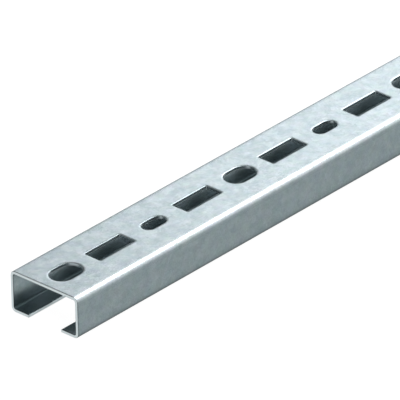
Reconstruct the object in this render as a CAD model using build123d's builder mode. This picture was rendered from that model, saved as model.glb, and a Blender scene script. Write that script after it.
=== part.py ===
"""Perforated strut channel: one length of light C-section, roll-formed from galvanised steel strip.

The section is an open C that stands on its two lips, with the slot between them facing down and the
punched web on top. The length lies along X, the width along Y and the height along Z, and the origin is
at the middle of the footprint, on the surface that the lips rest on. The web carries one row of punched
openings on its centreline, a fixed pitch apart, that repeat in the order large slot, rectangle, small
slot, rectangle. All sizes are in millimetres.
"""

import os

from build123d import *

# Section, measured outside the sheet
channel_length = 300.0
channel_width = 35.0
channel_height = 18.0
sheet = 1.25
inside_radius = 1.0  # of the four bends
slot_width = 17.0  # clear gap between the two lips

# Row of punched openings in the web
hole_pitch = 25.0
end_margin = 12.5  # from the cut end to the centre of the first opening
large_slot_length = 15.0
large_slot_width = 10.5
small_slot_length = 12.0
small_slot_width = 6.5
rectangle_length = 20.0
rectangle_width = 8.5
rectangle_corner = 0.5

# The openings of one repeat of the pattern, in order from the near end
repeat = ("large slot", "rectangle", "small slot", "rectangle")


def centres(kind):
    """Where the openings of one kind lie on the web, for as many as the length holds."""
    first = -channel_length / 2 + end_margin
    opening_count = int((channel_length - 2 * end_margin) // hole_pitch) + 1
    return [
        (first + index * hole_pitch, 0)
        for index in range(opening_count)
        if repeat[index % len(repeat)] == kind
    ]


def make_channel():
    """The strip, bent to its section and punched through the web."""
    half_width = channel_width / 2
    with BuildPart() as channel:
        # The outer face of the strip runs from one lip's free edge round to the other's,
        # and the strip lies inside it.
        with BuildSketch(Plane.YZ.offset(-channel_length / 2)):
            with BuildLine():
                outer_face = Polyline(
                    (-slot_width / 2, 0),
                    (-half_width, 0),
                    (-half_width, channel_height),
                    (half_width, channel_height),
                    (half_width, 0),
                    (slot_width / 2, 0),
                )
                fillet(outer_face.vertices()[1:-1], inside_radius + sheet)
                offset(amount=sheet, side=Side.RIGHT)
            make_face()
        extrude(amount=channel_length)

        with BuildSketch(Plane.XY.offset(channel_height)):
            with Locations(*centres("large slot")):
                SlotOverall(large_slot_length, large_slot_width)
            with Locations(*centres("small slot")):
                SlotOverall(small_slot_length, small_slot_width)
            with Locations(*centres("rectangle")):
                RectangleRounded(rectangle_length, rectangle_width, rectangle_corner)
        extrude(amount=-sheet, mode=Mode.SUBTRACT)
    channel.part.label = "channel"
    return channel


channel = make_channel()
os.makedirs("parts", exist_ok=True)
export_step(channel.part, "parts/channel.step")
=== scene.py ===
import math

import bmesh
import bpy
from mathutils import Matrix, Vector


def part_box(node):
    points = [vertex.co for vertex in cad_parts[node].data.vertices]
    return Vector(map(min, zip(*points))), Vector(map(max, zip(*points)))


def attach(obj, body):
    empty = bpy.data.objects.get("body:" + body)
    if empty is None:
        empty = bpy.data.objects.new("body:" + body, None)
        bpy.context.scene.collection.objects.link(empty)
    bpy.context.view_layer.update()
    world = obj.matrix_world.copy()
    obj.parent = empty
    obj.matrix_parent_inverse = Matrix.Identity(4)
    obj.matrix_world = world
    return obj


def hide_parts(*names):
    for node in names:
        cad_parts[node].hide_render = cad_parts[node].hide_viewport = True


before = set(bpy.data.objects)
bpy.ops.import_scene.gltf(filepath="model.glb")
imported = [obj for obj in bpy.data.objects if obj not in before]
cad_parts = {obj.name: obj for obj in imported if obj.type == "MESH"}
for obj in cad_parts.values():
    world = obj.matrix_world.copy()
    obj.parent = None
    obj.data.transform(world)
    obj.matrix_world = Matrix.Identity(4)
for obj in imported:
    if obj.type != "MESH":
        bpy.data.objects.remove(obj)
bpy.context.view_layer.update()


# ---------------------------------------------------------------------------------------------------
# The channel: one length of light C-section for hanging pipes and cable trays.
# Galvanised steel strip, 1.25 mm thick, is punched with a row of openings while it is flat, roll-formed
# round its four bends, and sheared to length, which leaves the cut edges bright and slightly rounded.

low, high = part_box("channel")
length = high.x - low.x
width = high.y - low.y
height = high.z - low.z

sheet = 0.00125
bend_radius = 0.00225  # of the outer face
bend_steps = 16
slot_width = 0.017  # between the free edges of the two lips
hole_pitch = 0.025
web_flat = width - 2 * bend_radius
side_flat = height - 2 * bend_radius
lip_flat = (width - slot_width) / 2 - bend_radius

# Length, width and corner radius of each opening, then the edges in a corner, along a side and across an
# end of its outline. Every outline comes to 64 edges, as does the piece of web that it is bridged to.
outline_edges = 64
large_slot = (0.015, 0.0105, 0.00525, 12, 8, 0)
small_slot = (0.012, 0.0065, 0.00325, 12, 8, 0)
rectangle = (0.020, 0.0085, 0.0005, 4, 16, 8)
pattern = (large_slot, rectangle, small_slot, rectangle)

# The punch and the shear draw the outer skin down as they go through: how wide, and how steep at the edge.
roll_rings = 6
punched = (0.0011, math.radians(13))
sheared = (0.0003, math.radians(50))
eased = 0.00015  # radius of the edges on the other side, and of the slit edges of the lips
eased_steps = 3

touching = 1e-6  # points nearer than this are one
corner_turn = math.radians(60)  # an edge that turns by more is a corner of the cut


def draw_rectangle(bm, size_x, size_y):
    """A flat rectangle about the origin. Returns its four edges."""
    corners = bmesh.ops.create_grid(bm, x_segments=1, y_segments=1, size=0.5)["verts"]
    bmesh.ops.scale(bm, vec=(size_x, size_y, 1), verts=corners)
    return list(corners[0].link_faces[0].edges)


def divide(bm, edges, parts):
    """Cuts each of these edges into so many equal parts."""
    bmesh.ops.subdivide_edges(bm, edges=edges, cuts=parts - 1)


def rolled_over(roll_width, turn):
    """How far in from the flat skin each ring of a drawn-down edge lies, and how deep it is there."""
    radius = roll_width / math.sin(turn)
    turns = [turn * ring / roll_rings for ring in range(roll_rings + 1)]
    return [(radius * math.sin(turned), radius * (1 - math.cos(turned))) for turned in turns]


def punched_pitch(opening):
    """One pitch of the flat web about the origin, with its opening, as a mesh."""
    opening_length, opening_width, corner, in_corner, along, across = opening
    bm = bmesh.new()
    drop = bm.verts.layers.float.new("drop")
    rings = rolled_over(*punched)
    roll_width = rings[-1][0]
    draw_rectangle(bm, opening_length + 2 * roll_width, opening_width + 2 * roll_width)
    bmesh.ops.bevel(
        bm, geom=bm.verts[:], offset=corner + roll_width, offset_type="OFFSET", segments=in_corner,
        profile=0.5, affect="VERTICES", clamp_overlap=False, material=-1,
    )
    bmesh.ops.remove_doubles(bm, verts=bm.verts[:], dist=touching)
    bmesh.ops.delete(bm, geom=bm.faces[:], context="FACES_ONLY")

    # The straight edges are much longer than the chords of the rounded corners.
    chord = 2 * (corner + roll_width) * math.sin(math.pi / 4 / in_corner)
    straight = [edge for edge in bm.edges if edge.calc_length() > 1.5 * chord]
    spans = {edge: edge.verts[0].co - edge.verts[1].co for edge in straight}
    divide(bm, [edge for edge in straight if abs(spans[edge].x) > abs(spans[edge].y)], along)
    if across:
        divide(bm, [edge for edge in straight if abs(spans[edge].y) > abs(spans[edge].x)], across)

    # Rings from the flat of the web in to the opening, each with how far the punch drew it down.
    inside = bmesh.ops.edgeloop_fill(bm, edges=bm.edges[:])["faces"]
    for (before, _), (reach, depth) in zip(rings, rings[1:]):
        bmesh.ops.inset_region(
            bm, faces=inside, thickness=reach - before, use_boundary=True, use_even_offset=True,
        )
        for vert in inside[0].verts:
            vert[drop] = depth
    bmesh.ops.delete(bm, geom=inside, context="FACES_ONLY")
    outline = [edge for edge in bm.edges if edge.is_boundary and edge.verts[0][drop] == 0]

    plate = draw_rectangle(bm, hole_pitch, web_flat)
    filled = [face for face in bm.faces if set(face.edges) == set(plate)]
    bmesh.ops.delete(bm, geom=filled, context="FACES_ONLY")
    divide(bm, plate, outline_edges // len(plate))
    border = [edge for edge in bm.edges if edge.is_wire]
    bmesh.ops.bridge_loops(bm, edges=outline + border)
    bmesh.ops.recalc_face_normals(bm, faces=bm.faces[:])
    if bm.faces[0].normal.z < 0:
        bmesh.ops.reverse_faces(bm, faces=bm.faces[:])
    mesh = bpy.data.meshes.new("punched pitch")
    bm.to_mesh(mesh)
    bm.free()
    return mesh


def bend(bm, edges, centre, quarter):
    """Rolls the strip on from these edges, a quarter turn round a line along the channel."""
    rolled = bmesh.ops.spin(
        bm, geom=edges, cent=centre, axis=(1, 0, 0), angle=quarter, steps=bend_steps, use_merge=False,
    )
    return [item for item in rolled["geom_last"] if isinstance(item, bmesh.types.BMEdge)]


def run_on(bm, edges, step):
    """Carries the strip straight on from these edges."""
    grown = bmesh.ops.extrude_edge_only(bm, edges=edges)["geom"]
    bmesh.ops.translate(bm, vec=step, verts=[item for item in grown if isinstance(item, bmesh.types.BMVert)])
    return [item for item in grown if isinstance(item, bmesh.types.BMEdge) and item.is_boundary]


# The outer face of the strip: the punched web, then both sides and lips.
pitches = {opening: punched_pitch(opening) for opening in (large_slot, small_slot, rectangle)}
strip = bmesh.new()
for index in range(round(length / hole_pitch)):
    placed = set(strip.verts)
    strip.from_mesh(pitches[pattern[index % len(pattern)]])
    centre = (low.x + (index + 0.5) * hole_pitch, 0, high.z)
    bmesh.ops.translate(strip, vec=centre, verts=[vert for vert in strip.verts if vert not in placed])
bmesh.ops.remove_doubles(strip, verts=strip.verts[:], dist=touching)

for side in (-1, 1):
    bend_y = side * web_flat / 2
    quarter = -side * math.pi / 2
    border = [edge for edge in strip.edges if all(abs(vert.co.y - bend_y) < touching for vert in edge.verts)]
    border = bend(strip, border, (0, bend_y, high.z - bend_radius), quarter)
    border = run_on(strip, border, (0, 0, -side_flat))
    border = bend(strip, border, (0, bend_y, low.z + bend_radius), quarter)
    run_on(strip, border, (0, -side * lip_flat, 0))

# The same rings along both sheared ends. The last of them is the end itself, which needs no cut.
drop = strip.verts.layers.float["drop"]
rings = rolled_over(*sheared)
roll_width = rings[-1][0]
for end in (-1, 1):
    for reach, depth in rings:
        ring_x = end * (length / 2 - roll_width + reach)
        if reach < roll_width:
            bmesh.ops.bisect_plane(
                strip, geom=strip.verts[:] + strip.edges[:] + strip.faces[:], dist=touching,
                plane_co=(ring_x, 0, 0), plane_no=(1, 0, 0),
            )
        for vert in strip.verts:
            if abs(vert.co.x - ring_x) < touching:
                vert[drop] = depth
strip.normal_update()
outward = {vert: vert.normal.copy() for vert in strip.verts}
outer_faces = set(strip.faces)

# The thickness grows inwards from that face. The faces that join the two skins are the cut edges.
bmesh.ops.solidify(strip, geom=strip.faces[:], thickness=sheet)
cut_faces = [
    face for face in strip.faces if face not in outer_faces and any(vert in outward for vert in face.verts)
]
for face in strip.faces:
    face.smooth = True
for face in cut_faces:
    middle = face.calc_center_median()
    in_opening = abs(middle.x) < length / 2 - touching and middle.z > height / 2
    face.material_index = 1 if in_opening else 2  # punched edge, or sheared edge

# The skin is drawn down at the openings and the ends, and the other corners of the cut edges are eased.
corners = {edge for face in cut_faces for edge in face.edges if edge.calc_face_angle() > corner_turn}
drawn = {
    vert for vert in outward
    if abs(vert.co.x) > length / 2 - touching
    or vert.co.z > height - touching and abs(vert.co.y) < web_flat / 2 - touching
}
kept_sharp = [edge for edge in corners if all(vert in drawn for vert in edge.verts)]
for edge in kept_sharp:
    edge.smooth = False
for vert, normal in outward.items():
    vert.co -= normal * vert[drop]
bmesh.ops.bevel(
    strip, geom=[edge for edge in corners if edge.smooth], offset=eased, offset_type="OFFSET",
    segments=eased_steps, profile=0.5, affect="EDGES", clamp_overlap=False, loop_slide=True, material=-1,
)

channel_mesh = bpy.data.meshes.new("strut channel")
strip.to_mesh(channel_mesh)
strip.free()
channel = bpy.data.objects.new("strut_channel", channel_mesh)
bpy.context.scene.collection.objects.link(channel)
crisp = channel.modifiers.new("flat faces stay flat", "WEIGHTED_NORMAL")
crisp.weight = 100
crisp.keep_sharp = True

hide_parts("channel")
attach(channel, "root")


def feed(tree, socket, value):
    """Sets an input to a value, or links it to a socket."""
    if isinstance(value, bpy.types.NodeSocket):
        tree.links.new(value, socket)
    else:
        socket.default_value = value


def add_node(tree, kind, settings=None, **inputs):
    """A node with its settings, and what goes to each of its inputs by name."""
    node = tree.nodes.new(kind)
    for name, value in (settings or {}).items():
        setattr(node, name, value)
    for name, value in inputs.items():
        feed(tree, node.inputs[name.replace("_", " ")], value)
    return node


def add_math(tree, operation, *values, kind="ShaderNodeMath"):
    """The result of a Math node with its values in order."""
    node = add_node(tree, kind, {"operation": operation})
    for socket, value in zip(node.inputs, values):
        feed(tree, socket, value)
    return node.outputs[0]


def add_vector_math(tree, operation, *values):
    """The result of a Vector Math node with its values in order."""
    return add_math(tree, operation, *values, kind="ShaderNodeVectorMath")


def add_fade(tree, value, start, end, before=0.0, after=1.0):
    """A value that runs evenly from before to after as this one goes from start to end."""
    fade = add_node(
        tree, "ShaderNodeMapRange", Value=value, From_Min=start, From_Max=end, To_Min=before, To_Max=after,
    )
    return fade.outputs["Result"]


def add_ramp(tree, value, dark_at, dark, light_at, light):
    """A colour that runs from dark to light with this value."""
    ramp = add_node(tree, "ShaderNodeValToRGB", Fac=value)
    for stop, position, colour in zip(ramp.color_ramp.elements, (dark_at, light_at), (dark, light)):
        stop.position = position
        stop.color = (*colour, 1)
    return ramp.outputs["Color"]


def new_material(name):
    """An empty material, and its nodes."""
    material = bpy.data.materials.new(name)
    material.use_nodes = True
    tree = material.node_tree
    tree.nodes.clear()
    return material, tree


# The grain of the metal, coarse on a broken edge and fine on the rolled faces.
metal_grain = bpy.data.node_groups.new("metal grain", "ShaderNodeTree")
metal_grain.interface.new_socket("Vector", in_out="INPUT", socket_type="NodeSocketVector")
metal_grain.interface.new_socket("Scale", in_out="INPUT", socket_type="NodeSocketFloat")
metal_grain.interface.new_socket("Grain", in_out="OUTPUT", socket_type="NodeSocketFloat")
entry = metal_grain.nodes.new("NodeGroupInput")
grit = add_node(
    metal_grain, "ShaderNodeTexNoise", Vector=entry.outputs["Vector"], Scale=entry.outputs["Scale"],
    Detail=3.0, Roughness=0.6,
)
add_node(metal_grain, "NodeGroupOutput", Grain=grit.outputs["Fac"])


def add_grain(tree, where, scale):
    """How high the grain stands here."""
    group = add_node(tree, "ShaderNodeGroup", {"node_tree": metal_grain}, Vector=where, Scale=scale)
    return group.outputs["Grain"]


grain_height = 0.0001
fine, coarse = 1500.0, 900.0  # grains to the metre


def finish_metal(material, colour, metallic, roughness, grain, relief):
    """Gives a metal its shader, with the grain as relief, and puts it on the channel."""
    tree = material.node_tree
    bump = add_node(tree, "ShaderNodeBump", Strength=relief, Distance=grain_height, Height=grain)
    shader = add_node(
        tree, "ShaderNodeBsdfPrincipled", Base_Color=colour, Metallic=metallic, Roughness=roughness,
        Normal=bump.outputs["Normal"],
    )
    add_node(tree, "ShaderNodeOutputMaterial", Surface=shader.outputs["BSDF"])
    channel_mesh.materials.append(material)


# Where the zinc changes: each change comes on between the first place and the second.
bend_aside = (width / 2 - 0.0031, width / 2 - 0.0015)
# Heights between which the painted highlight on the right bend comes on.
bend_up = (height - 0.0030, height - 0.0019)
highlight_up = (height - 0.0020, height - 0.0008)
# Where the painted shade along the two cut ends comes on.
end_shade_along = (length / 2 - 0.0007, length / 2 - 0.0001)
# Where the painted shade on the lips inside the channel comes on.
inside_aside = (width / 2 - 0.0005, width / 2 - 0.0015)
lip_from_below = (sheet - 0.00045, sheet - 0.00005)
lip_from_above = (sheet + 0.00095, sheet + 0.00005)
speckle = 0.36  # how far the fine grain changes its brightness

# Zinc: a soft spangle in cloudy patches, each a little lighter or darker and smoother or rougher.
zinc, tree = new_material("galvanised strip")
where = add_node(tree, "ShaderNodeTexCoord").outputs["Object"]
wander = add_node(tree, "ShaderNodeTexNoise", Vector=where, Scale=400.0, Detail=2.0).outputs["Color"]
wandering = add_vector_math(tree, "MULTIPLY_ADD", wander, (0.004, 0.004, 0.004), where)
crystals = add_node(tree, "ShaderNodeTexVoronoi", Vector=wandering, Scale=420.0).outputs["Color"]
crystal = add_node(tree, "ShaderNodeSeparateColor", Color=crystals).outputs["Red"]
cloud = add_node(tree, "ShaderNodeTexNoise", Vector=where, Scale=260.0, Detail=6.0, Roughness=0.7)
spangle = add_math(tree, "MULTIPLY_ADD", crystal, 0.25, cloud.outputs["Fac"])
tone = add_ramp(tree, spangle, 0.35, (0.36, 0.42, 0.437), 1.0, (0.47, 0.54, 0.562))
patches = add_node(tree, "ShaderNodeTexNoise", Vector=where, Scale=260.0, Detail=4.0).outputs["Color"]
tint = add_vector_math(tree, "MULTIPLY_ADD", patches, (0.16, 0.16, 0.16), (0.92, 0.92, 0.92))
tinted = add_vector_math(tree, "MULTIPLY", tone, tint)
zinc_roughness = add_fade(tree, spangle, 0.3, 1.0, 0.28, 0.20)

along, across, up = add_node(tree, "ShaderNodeSeparateXYZ", Vector=where).outputs
aside = add_math(tree, "ABSOLUTE", across)
endways = add_math(tree, "ABSOLUTE", along)

# The rolls left the zinc matt on the two bends beside the web. On the right one a painted highlight lifts
# and whitens the colour.
in_bend = add_math(tree, "MULTIPLY", add_fade(tree, aside, *bend_aside), add_fade(tree, up, *bend_up))
zinc_roughness = add_math(tree, "MULTIPLY_ADD", in_bend, 0.24, zinc_roughness)
bare = add_fade(tree, in_bend, 0.0, 1.0, 1.0, 0.6)
on_right = add_fade(tree, across, *(-place for place in bend_aside))
# Painted highlight: the right bend, above the side, is made lighter.
painted_highlight = add_math(tree, "MULTIPLY", on_right, add_fade(tree, up, *highlight_up))
brightness = add_math(tree, "MULTIPLY_ADD", painted_highlight, 0.66, 1.0)

# Painted shade darkens the zinc in a line along the two ends, and on the lips inside the channel.
painted_end_shade = add_fade(tree, endways, *end_shade_along)
brightness = add_math(tree, "MULTIPLY_ADD", painted_end_shade, -0.4, brightness)
# Painted shade: the lips' top faces inside the channel are made darker.
inside = add_fade(tree, aside, *inside_aside)
lip_level = add_math(
    tree, "MULTIPLY", add_fade(tree, up, *lip_from_below), add_fade(tree, up, *lip_from_above),
)
painted_lip_shade = add_math(tree, "MULTIPLY", inside, lip_level)
brightness = add_math(tree, "MULTIPLY_ADD", painted_lip_shade, -0.14, brightness)

fine_grain = add_grain(tree, where, fine)
brightness = add_math(tree, "MULTIPLY_ADD", fine_grain, speckle, brightness)
brightness = add_math(tree, "SUBTRACT", brightness, speckle / 2)
brightened = add_node(tree, "ShaderNodeVectorMath", {"operation": "SCALE"}, Vector=tinted, Scale=brightness)
# The painted highlight on the right bend is also whitened a little.
highlight_whitened = add_vector_math(tree, "MULTIPLY_ADD", painted_highlight, (0.05, 0.01, 0.0), brightened.outputs[0])
finish_metal(zinc, highlight_whitened, bare, zinc_roughness, fine_grain, 0.08)

# The punched edge: smooth and light where the punch sheared it, darker and torn further down.
smooth_up = (height - 0.0012, height - 0.0001)
punched_metal, tree = new_material("punched edge")
where = add_node(tree, "ShaderNodeTexCoord").outputs["Object"]
coarse_grain = add_grain(tree, where, coarse)
up = add_node(tree, "ShaderNodeSeparateXYZ", Vector=where).outputs["Z"]
smoothness = add_math(tree, "MULTIPLY_ADD", coarse_grain, 0.4, add_fade(tree, up, *smooth_up))
tone = add_ramp(tree, smoothness, 0.2, (0.30, 0.33, 0.35), 1.0, (0.62, 0.68, 0.71))
finish_metal(punched_metal, tone, 1.0, add_fade(tree, smoothness, 0.0, 1.0, 0.40, 0.22), coarse_grain, 0.1)

# The sheared ends and the slit edges of the lips: bare bright steel, matt and finely broken.
sheared_metal, tree = new_material("sheared edge")
where = add_node(tree, "ShaderNodeTexCoord").outputs["Object"]
coarse_grain = add_grain(tree, where, coarse)
tone = add_ramp(tree, coarse_grain, 0.0, (0.76, 0.83, 0.85), 1.0, (0.88, 0.95, 0.96))
finish_metal(sheared_metal, tone, 0.2, add_fade(tree, coarse_grain, 0.0, 1.0, 0.6, 0.4), coarse_grain, 0.1)


# ---------------------------------------------------------------------------------------------------
# The floor: a sheet of opal acrylic, lit from below like a light table, so that shadows on it stay faint.
# The metal gets a little over half of the light that is seen of it, and less from close under its edges.

corner_reach = 0.005
floor_mesh = bpy.data.meshes.new("floor")
bm = bmesh.new()
bmesh.ops.create_grid(bm, x_segments=1, y_segments=1, size=8.0)
bm.to_mesh(floor_mesh)
bm.free()
floor = bpy.data.objects.new("floor", floor_mesh)
bpy.context.scene.collection.objects.link(floor)

acrylic, tree = new_material("opal acrylic")
seen = add_node(tree, "ShaderNodeLightPath").outputs["Is Camera Ray"]
open_above = add_node(
    tree, "ShaderNodeAmbientOcclusion", {"samples": 8}, Color=(0.94, 1, 1, 1), Distance=corner_reach,
)
sent_up = add_node(tree, "ShaderNodeEmission", Color=open_above.outputs["Color"], Strength=0.575)
glowing = add_node(
    tree, "ShaderNodeBsdfPrincipled", Base_Color=(0.10, 0.10, 0.10, 1), Roughness=0.9,
    Emission_Color=(1, 1, 1, 1), Emission_Strength=0.95,
)
mixed = add_node(tree, "ShaderNodeMixShader", Fac=seen)
feed(tree, mixed.inputs[1], sent_up.outputs["Emission"])
feed(tree, mixed.inputs[2], glowing.outputs["BSDF"])
add_node(tree, "ShaderNodeOutputMaterial", Surface=mixed.outputs["Shader"])
floor_mesh.materials.append(acrylic)


# ---------------------------------------------------------------------------------------------------
# The light: a dim room, paler behind the camera, with soft boxes beyond the channel for the web, over it
# and on the right for the bend, and one in front of the near cut end.

unlit = 0.015  # how bright the room is away from the glows
lamp_colour = (0.99, 1.0, 1.02)

world = bpy.data.worlds.new("studio")
bpy.context.scene.world = world
world.use_nodes = True
tree = world.node_tree
tree.nodes.clear()
direction = add_node(tree, "ShaderNodeTexCoord").outputs["Generated"]


def add_glow(towards, dim_at, level):
    """Light that comes softly from round about one direction."""
    closeness = add_node(tree, "ShaderNodeVectorMath", {"operation": "DOT_PRODUCT"}, Vector=direction)
    feed(tree, closeness.inputs[1], Vector(towards).normalized())
    glow = add_node(
        tree, "ShaderNodeMapRange", {"interpolation_type": "SMOOTHSTEP"}, Value=closeness.outputs["Value"],
        From_Min=dim_at, From_Max=1.0, To_Min=unlit, To_Max=level,
    )
    return glow.outputs["Result"]


beyond = add_glow((0.64, 0.14, 0.76), 0.7, 0.3)
behind = add_glow((-0.75, -0.35, 0.55), -0.2, 0.8)
room = add_math(tree, "ADD", beyond, behind)
background = add_node(tree, "ShaderNodeBackground", Color=room, Strength=1.0)
add_node(tree, "ShaderNodeOutputWorld", Surface=background.outputs["Background"])


def soft_box(name, place, aim, size, power):
    """A lamp behind a rectangular diffuser, turned to its aim, with its power in watts."""
    light = bpy.data.lights.new(name, "AREA")
    light.shape = "RECTANGLE"
    light.size, light.size_y = size
    light.energy = power
    light.color = lamp_colour
    lamp = bpy.data.objects.new(name, light)
    bpy.context.scene.collection.objects.link(lamp)
    lamp.location = place
    lamp.rotation_euler = (Vector(place) - Vector(aim)).to_track_quat("Z", "Y").to_euler()


soft_box("far panel", (0.85, 0.62, 0.5), (0.1, 0.0, 0.0), (0.5, 0.4), 0.5)
soft_box("web panel", (0.95, 0.85, 0.66), (0.1, 0.0, 0.0), (0.7, 0.6), 1.05)
soft_box("overhead box", (0.55, -0.16, 0.85), (0.0, 0.0, 0.0), (0.6, 0.4), 7.5)
soft_box("ridge box", (0.66, 0.23, 0.72), (0.0, 0.0, 0.0), (0.4, 0.4), 2.0)
soft_box("right box", (0.70, -0.46, 0.62), (0.0, 0.0, 0.0), (0.5, 0.4), 0.35)
soft_box("low right box", (0.80, -0.80, 0.27), (0.0, 0.0, 0.0), (0.6, 0.5), 1.1)
soft_box("end box", (-1.6, -0.5, 0.2), (-0.15, 0.0, 0.0), (0.6, 0.3), 3.0)


# ---------------------------------------------------------------------------------------------------
# The camera: a long lens a few metres off, past the near cut end and out to its right, looking down at it.
# From so far away the long edges of the channel stay close to parallel. It leans a little to one side.

azimuth, elevation, roll = math.radians(-47.230), math.radians(29.281), math.radians(-1.387)
distance = 3.6958
aim = Vector((-0.062624, -0.001696, 0.018))
back = Vector((
    math.sin(azimuth) * math.cos(elevation),
    -math.cos(azimuth) * math.cos(elevation),
    math.sin(elevation),
))
camera_data = bpy.data.cameras.new("camera")
camera_data.lens = 857.02
camera = bpy.data.objects.new("camera", camera_data)
bpy.context.scene.collection.objects.link(camera)
turn = back.to_track_quat("Z", "Y").to_matrix() @ Matrix.Rotation(roll, 3, "Z")
camera.matrix_world = Matrix.Translation(aim + back * distance) @ turn.to_4x4()
bpy.context.scene.camera = camera
bpy.context.scene.view_settings.view_transform = "Standard"
